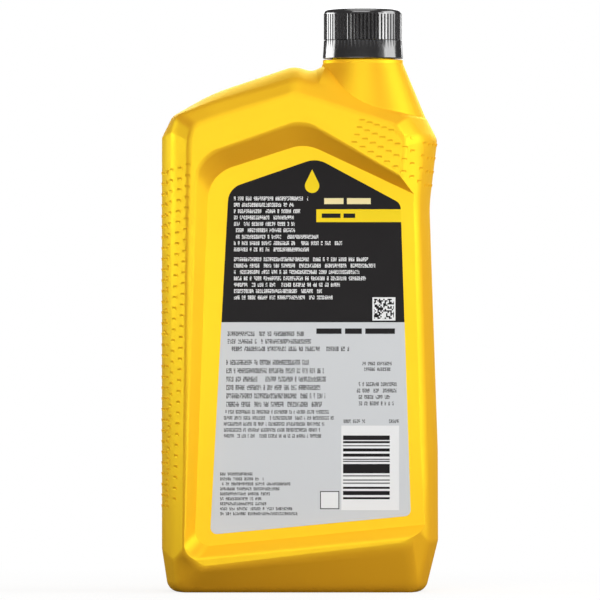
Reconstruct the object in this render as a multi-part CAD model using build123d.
from build123d import *
import os
from collections import namedtuple
from math import cos, radians, tan

# Motor oil bottle of one US quart: a blown bottle with an offset neck, a ribbed screw cap with its tamper
# band, a sealing liner inside the cap and a film label in the recess of one face.
# X runs to the right seen from the labelled face, Y runs away from that face, Z runs up.
# The origin is the middle of the base. Lengths are in millimetres and angles in degrees.

# Overall sizes
overall_height = 236.7
body_width = 112.4
body_depth = 60.0
wall = 1.0
neck_right_run = 30.6

# Neck finish: 28 mm, six threads to the inch
finish_height = 18.1
finish_radius = 12.5
bore_radius = 10.8
lip_rounding = 0.6
collar_radius = 16.3
collar_height = 1.5
collar_rounding = 0.4
funnel_angle = 22.6
funnel_foot_drop = 27.0
bore_taper_height = 5.0
bore_overrun = 1.0
bead_radius = 13.9
bead_height = 1.6
bead_lift = 3.9
bead_top_height = 0.5
bead_top_radius = 13.0

# Screw cap, tamper band and liner
cap_radius = 15.9
cap_bore_radius = 13.95
cap_top_wall = 1.5
cap_top_rounding = 1.7
cap_skirt_height = 12.5
cut_gap = 0.3
rib_count = 64
rib_depth = 0.45
rib_gap_share = 0.25
rib_top_margin = 2.1
rib_run_out = 3.4
band_clearance = 0.4
band_flare = 0.45
band_bore_radius = 14.3
band_rounding = 0.4
catch_radius = 13.2
catch_clearance = 0.3
liner_thickness = 1.0
liner_clearance = 0.35

# Body outline, measured in from the left and right sides or left from the neck, down from the collar
# and up from the base or the shoulder
shoulder_drop = 31.7
corner_rise = 8.7
corner_run = 4.3
slope_rise = 17.9
slope_run = 20.2
peak_rise = 29.1
peak_neck_run = 28.1
valley_rise = 27.0
valley_neck_run = 20.7
root_rise = 30.1
root_neck_run = 14.1
right_shoulder_rise = 7.7
right_shoulder_run = 4.7
grip_drop = 0.8
grip_run = 0.3
waist_drop = 27.3
waist_run = 3.5
hip_height = 57.4
hip_run = 0.1
skirt_right_height = 20.8
skirt_left_height = 17.5
heel_right_run = 5.2
heel_left_run = 2.7
base_trim = 0.2
bevel_half_angle = 22.5

# Largest share of a side of an outline that the roundings at its two ends may take
rounding_side_share = 0.98

# Bevel round each face: its depth, and how far the softening of its two edges reaches
bevel_depth = 7.5
face_softening = 1.4
crown_softening = 2.0

# Label recess
recess_depth = 5.5
recess_peak_neck_run = 24.4
recess_peak_drop = 24.8
recess_left_angle = 19.5
recess_right_angle = 30.5
recess_left_run = 14.3
recess_foot_left_run = 9.2
recess_foot_height = 13.4
recess_foot_angle = 5.7
recess_peak_rounding = 15.7
recess_corner_rounding = 14.5
recess_foot_rounding = 6.0
floor_peak_neck_run = 23.4
floor_peak_drop = 34.3
floor_left_angle = 17.9
floor_right_angle = 25.1
floor_left_run = 19.2
floor_foot_left_run = 13.5
floor_foot_height = 18.3
rim_softening = 0.7
recess_overrun = 9.0
overrun_rounding = 2.0

# Base push-up
base_rim = 7.0
base_pocket_depth = 2.0
base_pocket_end_share = 0.387

# Label
label_thickness = 0.12
label_peak_neck_run = 18.9
label_peak_drop = 40.3
label_left_angle = 19.1
label_right_angle = 28.3
label_left_run = 27.3
label_right_run = 15.5
label_foot_left_run = 19.9
label_foot_right_run = 11.4
label_foot_height = 23.5
label_foot_angle = 5.4
label_peak_rounding = 10.0
label_corner_rounding = 7.5
label_right_rounding = 3.75
label_foot_rounding = 2.5

# Levels and places that follow from the sizes above
left = -body_width / 2
right = body_width / 2
neck_offset = right - neck_right_run
lip_z = overall_height - cap_top_wall - liner_thickness
collar_top_z = lip_z - finish_height
collar_foot_z = collar_top_z - collar_height
shoulder_z = collar_top_z - shoulder_drop
cap_foot_z = overall_height - cap_skirt_height
band_top_z = cap_foot_z - cut_gap
band_foot_z = collar_top_z + band_clearance
face_y = body_depth / 2
crown_y = face_y - bevel_depth
floor_y = face_y - recess_depth
front = Plane.XZ

# One corner of the body outline: its place at the parting line, the steps in to the edge of the crowned side
# and on to the flat face, and its rounding at the parting line and at the two edges.
Corner = namedtuple("Corner", "x z crown bevel rounding edge_rounding")
outline = [
    Corner(left + heel_left_run, -base_trim, (4.3, 0), (9.7, 9.6), 5, 5),
    Corner(right - heel_right_run, -base_trim, (-3.8, 0), (-2.7, 19.6), 5, 5),
    Corner(right, skirt_right_height, (-3.9, -0.4), (-5.0, 6.5), 5, 5),
    Corner(right - hip_run, hip_height, (-5.2, 0), (-8.0, 0), 200, 200),
    Corner(right - waist_run, shoulder_z - waist_drop, (-4.7, 0.4), (-8.0, 0), 60, 60),
    Corner(right - grip_run, shoulder_z - grip_drop, (-6.4, 0.8), (-6.6, -2.1), 6, 6),
    Corner(right - right_shoulder_run, shoulder_z + right_shoulder_rise, (-8.2, 0.6), (-4.6, -3.4), 2, 2),
    Corner(neck_offset - root_neck_run, shoulder_z + root_rise, (0, -10.7), (0, -5.8), 2, 60),
    Corner(neck_offset - valley_neck_run, shoulder_z + valley_rise, (0, -5.4), (0, -6.1), 5, 60),
    Corner(neck_offset - peak_neck_run, shoulder_z + peak_rise, (1.0, -5.3), (-0.7, -6.0), 10, 10),
    Corner(left + slope_run, shoulder_z + slope_rise, (0, -3.9), (0, -6.5), 80, 80),
    Corner(left + corner_run, shoulder_z + corner_rise, (2.2, 0.4), (6.2, -4.4), 5, 5),
    Corner(left, shoulder_z, (4.5, 1.6), (6.7, -3.3), 3, 3),
    Corner(left, skirt_left_height, (4.9, -4.5), (3.9, 2.9), 6, 6),
]


def moved_in(points, distance):
    """Corners of a counterclockwise outline with every side moved in by a distance."""
    moved = []
    for index, here in enumerate(points):
        before = points[index - 1]
        after = points[(index + 1) % len(points)]
        side_in = (here - before).normalized().rotate(Axis.Z, 90)
        side_out = (after - here).normalized().rotate(Axis.Z, 90)
        step = (side_in + side_out) * (distance / (1 + side_in.dot(side_out)))
        moved.append(here + step)
    return moved


def turn_at(points, index):
    """Signed turn of an outline at one corner: positive where the outline is convex."""
    before = points[index] - points[index - 1]
    after = points[(index + 1) % len(points)] - points[index]
    return before.cross(after).Z


def fitted(points, roundings):
    """Roundings made smaller where two of them would meet on one side of an outline."""
    sides = [here - points[index - 1] for index, here in enumerate(points)]
    turns = [side.get_angle(sides[(index + 1) % len(sides)]) for index, side in enumerate(sides)]
    reaches = [rounding * tan(radians(turn / 2)) for rounding, turn in zip(roundings, turns)]
    shares = []
    for index, side in enumerate(sides):
        room = rounding_side_share * side.length
        shares.append(min(1, room / (reaches[index - 1] + reaches[index])))
    return [
        rounding * min(shares[index], shares[(index + 1) % len(shares)])
        for index, rounding in enumerate(roundings)
    ]


def section(points, roundings, y):
    """Rounded outline seen from the front, as a face at depth y."""
    outline_wire = FilletPolyline(*points, radius=fitted(points, roundings), close=True)
    return front.offset(-y) * make_face(outline_wire)


def between(first, second, share):
    """Corners or roundings a share of the way from one list to another."""
    return [start + (finish - start) * share for start, finish in zip(first, second)]


# A ring round the body: the corners and roundings of its outline, and its depth
Ring = namedtuple("Ring", "points roundings y")


def ring_between(first, second, share):
    """Ring a share of the way from one ring to another."""
    points = between(first.points, second.points, share)
    roundings = between(first.roundings, second.roundings, share)
    return Ring(points, roundings, first.y + (second.y - first.y) * share)


def lofted(rings, ruled=False):
    """Solid through several rings."""
    return loft([section(*ring) for ring in rings], ruled=ruled)


def softened(before, edge, after):
    """Rounded strip over an edge, from the ring before it to the ring after it."""
    middle = ring_between(ring_between(before, after, 0.5), edge, 0.5)
    return lofted([before, middle, after])


def body_rings(inset):
    """Rings at the parting line, at the edge of the crowned sides and at the flat face, moved in."""
    parting = [Vector(corner.x, corner.z) for corner in outline]
    crown = [point + Vector(*corner.crown) for point, corner in zip(parting, outline)]
    face = [point + Vector(*corner.bevel) for point, corner in zip(crown, outline)]
    roundings = []
    edge_roundings = []
    for index, corner in enumerate(outline):
        change = -inset if turn_at(parting, index) > 0 else inset
        roundings.append(corner.rounding + change)
        edge_roundings.append(corner.edge_rounding + change)
    edge_y = crown_y - inset * tan(radians(bevel_half_angle))
    return (
        Ring(moved_in(parting, inset), roundings, 0),
        Ring(moved_in(crown, inset), edge_roundings, -edge_y),
        Ring(moved_in(face, inset), edge_roundings, -face_y + inset),
    )


def crowned_sides(edge, parting):
    """Sides that bulge from an edge ring to the parting line and back to the same edge on the far half."""
    return lofted([edge, parting, edge._replace(y=-edge.y)])


def body_outside():
    """The body with crowned sides and a softened bevel round each face, still plain and without a neck."""
    parting, crown, face = body_rings(0)
    flat = face._replace(points=moved_in(face.points, face_softening))
    bevel_start = ring_between(face, crown, face_softening / bevel_depth)
    bevel_end = ring_between(crown, face, crown_softening / bevel_depth)
    # The crowned side is a parabola across the depth, and its end slope passes through the crown edge.
    side_y = crown_y - crown_softening
    slope_share = 2 * crown_softening / side_y
    side_start = ring_between(crown, parting, slope_share / (1 + slope_share))._replace(y=-side_y)
    near = (
        softened(flat, face, bevel_start)
        + lofted([bevel_start, bevel_end], ruled=True)
        + softened(bevel_end, crown, side_start)
    )
    return crowned_sides(side_start, parting) + near + mirror(near, about=Plane.XZ)


def body_inside():
    """The inside of the body, one wall in, with plain bevels."""
    parting, crown, face = body_rings(wall)
    near = lofted([face, crown], ruled=True)
    return crowned_sides(crown, parting) + near + mirror(near, about=Plane.XZ)


def chevron(peak, left_angle, right_angle, left_run, foot_left_run, foot_height):
    """Corners of the recess seen from the front: it runs out past the right side."""
    peak_x, peak_z = peak
    far_x = right + recess_overrun
    left_x = left + left_run
    foot_x = left + foot_left_run
    left_z = peak_z - (peak_x - left_x) * tan(radians(left_angle))
    right_z = peak_z - (far_x - peak_x) * tan(radians(right_angle))
    foot_right_z = foot_height + (far_x - foot_x) * tan(radians(recess_foot_angle))
    foot = [(foot_x, foot_height), (far_x, foot_right_z)]
    return [Vector(*point) for point in foot + [(far_x, right_z), peak, (left_x, left_z)]]


def recess_block(inset):
    """What the recess takes out of the near face, made larger all round by an inset for the inside."""
    rim_peak = (neck_offset - recess_peak_neck_run, collar_top_z - recess_peak_drop)
    floor_peak = (neck_offset - floor_peak_neck_run, collar_top_z - floor_peak_drop)
    rim = chevron(
        rim_peak, recess_left_angle, recess_right_angle, recess_left_run, recess_foot_left_run, recess_foot_height
    )
    floor = chevron(
        floor_peak, floor_left_angle, floor_right_angle, floor_left_run, floor_foot_left_run, floor_foot_height
    )
    rim = moved_in(rim, -inset)
    floor = moved_in(floor, -inset)
    roundings = [
        recess_foot_rounding, overrun_rounding, overrun_rounding,
        recess_peak_rounding, recess_corner_rounding,
    ]
    mouth = Ring(moved_in(rim, -rim_softening), roundings, -face_y)
    rim_ring = Ring(rim, roundings, -face_y)
    floor_ring = Ring(floor, roundings, -floor_y + inset)
    wall_start = ring_between(rim_ring, floor_ring._replace(y=-floor_y), rim_softening / recess_depth)
    block = softened(mouth, rim_ring, wall_start) + lofted([wall_start, floor_ring], ruled=True)
    return block + extrude(section(*mouth), amount=recess_overrun)


def base_pocket(inset):
    """Shallow push-up of the base."""
    length = body_width - 2 * base_rim - heel_left_run - heel_right_run + 2 * inset
    depth = 2 * crown_y - 2 * base_rim + 2 * inset
    middle = (heel_left_run - heel_right_run) / 2
    rounding = depth * base_pocket_end_share
    floor = RectangleRounded(length, depth, rounding)
    return Pos(middle, 0, 0) * extrude(floor, amount=base_pocket_depth + inset)


def funnel_radius(z, inset=0.0):
    """Radius of the funnel below the collar."""
    flare = (collar_foot_z - z) * tan(radians(funnel_angle))
    return collar_radius + flare - inset / cos(radians(funnel_angle))


def turned(points, roundings):
    """Solid turned about the neck axis from a profile of (radius, z) points."""
    profile = make_face(FilletPolyline(*points, radius=roundings, close=True))
    return Pos(neck_offset, 0, 0) * revolve(front * profile, Axis.Z)


def neck_solid():
    """Funnel, collar, tamper bead and plain neck finish, solid."""
    foot_z = collar_top_z - funnel_foot_drop
    bead_foot_z = collar_top_z + bead_lift
    bead_top_z = bead_foot_z + bead_height
    points = [
        (0, foot_z), (funnel_radius(foot_z), foot_z), (collar_radius, collar_foot_z),
        (collar_radius, collar_top_z), (finish_radius, collar_top_z), (finish_radius, bead_foot_z),
        (bead_radius, bead_foot_z), (bead_radius, bead_top_z - bead_top_height), (bead_top_radius, bead_top_z),
        (finish_radius, bead_top_z), (finish_radius, lip_z), (0, lip_z),
    ]
    roundings = [0, 0, 0, collar_rounding, 0, 0, 0, 0, 0, 0, lip_rounding, 0]
    return turned(points, roundings)


def neck_cavity():
    """Inside of the funnel and the bore of the neck."""
    foot_z = collar_top_z - funnel_foot_drop
    taper_z = collar_top_z - bore_taper_height
    top_z = lip_z + bore_overrun
    points = [
        (0, foot_z), (funnel_radius(foot_z, wall), foot_z), (funnel_radius(taper_z, wall), taper_z),
        (bore_radius, collar_top_z), (bore_radius, top_z), (0, top_z),
    ]
    return turned(points, 0)


def recesses_and_pocket(inset):
    """What both label recesses and the base push-up take out of the body."""
    recess = recess_block(inset)
    return recess + mirror(recess, about=Plane.XZ) + base_pocket(inset)


def make_bottle():
    outer = body_outside() - recesses_and_pocket(0) + neck_solid()
    cavity = body_inside() - recesses_and_pocket(wall) + neck_cavity()
    below = Pos(0, 0, -body_depth) * Box(2 * body_width, 2 * body_depth, 2 * body_depth)
    return outer - cavity - below


def rib_gap_section(z):
    """Section of one V-shaped gap between two ribs, wide enough to pass through the flare of the band."""
    half_width = cap_radius * radians(360 / rib_count) * rib_gap_share
    outer_radius = cap_radius + 2 * band_flare
    outer_half = half_width * (outer_radius - cap_radius + rib_depth) / rib_depth
    corners = [(cap_radius - rib_depth, 0), (outer_radius, -outer_half), (outer_radius, outer_half)]
    return Pos(0, 0, z) * make_face(Polyline(*corners, close=True))


def round_the_neck(tool):
    """Copies of a tool, one at each gap between the ribs."""
    pitch = 360 / rib_count
    return [Pos(neck_offset, 0, 0) * Rot(0, 0, pitch * index) * tool for index in range(rib_count)]


def make_cap():
    shell = turned(
        [
            (cap_bore_radius, cap_foot_z), (cap_radius, cap_foot_z), (cap_radius, overall_height),
            (0, overall_height), (0, overall_height - cap_top_wall),
            (cap_bore_radius, overall_height - cap_top_wall),
        ],
        [0, 0, cap_top_rounding, 0, 0, 0],
    )
    gap = extrude(rib_gap_section(cap_foot_z), amount=cap_skirt_height - rib_top_margin)
    return shell - round_the_neck(gap)


def make_band():
    foot_radius = cap_radius + band_flare
    catch_top_z = collar_top_z + bead_lift - catch_clearance
    ring = turned(
        [
            (catch_radius, band_foot_z), (foot_radius, band_foot_z), (cap_radius, band_top_z),
            (band_bore_radius, band_top_z), (band_bore_radius, catch_top_z), (catch_radius, catch_top_z),
        ],
        [0, band_rounding, 0, 0, 0, 0],
    )
    run_out_radius = cap_radius + band_flare * rib_run_out / (band_top_z - band_foot_z)
    run_out = loft([rib_gap_section(band_top_z), Vertex(run_out_radius, 0, band_top_z - rib_run_out)])
    return ring - round_the_neck(run_out)


def make_liner():
    points = [
        (0, lip_z), (cap_bore_radius - liner_clearance, lip_z),
        (cap_bore_radius - liner_clearance, lip_z + liner_thickness), (0, lip_z + liner_thickness),
    ]
    return turned(points, 0)


def make_label():
    peak_z = collar_top_z - label_peak_drop
    left_x = left + label_left_run
    peak_x = neck_offset - label_peak_neck_run
    right_x = right - label_right_run
    left_z = peak_z - (peak_x - left_x) * tan(radians(label_left_angle))
    right_z = peak_z - (right_x - peak_x) * tan(radians(label_right_angle))
    foot_x = left + label_foot_left_run
    foot_right_x = right - label_foot_right_run
    foot_right_z = label_foot_height + (foot_right_x - foot_x) * tan(radians(label_foot_angle))
    points = [
        (foot_x, label_foot_height), (foot_right_x, foot_right_z), (right_x, right_z), (peak_x, peak_z),
        (left_x, left_z),
    ]
    roundings = [
        label_foot_rounding, label_foot_rounding, label_right_rounding,
        label_peak_rounding, label_corner_rounding,
    ]
    film = section([Vector(*point) for point in points], roundings, -floor_y)
    return extrude(film, amount=label_thickness)


nodes = {
    "bottle_body": make_bottle(),
    "screw_cap": make_cap(),
    "tamper_band": make_band(),
    "cap_liner": make_liner(),
    "back_label": make_label(),
}

os.makedirs("parts", exist_ok=True)
for name, node in nodes.items():
    export_step(node, f"parts/{name}.step")
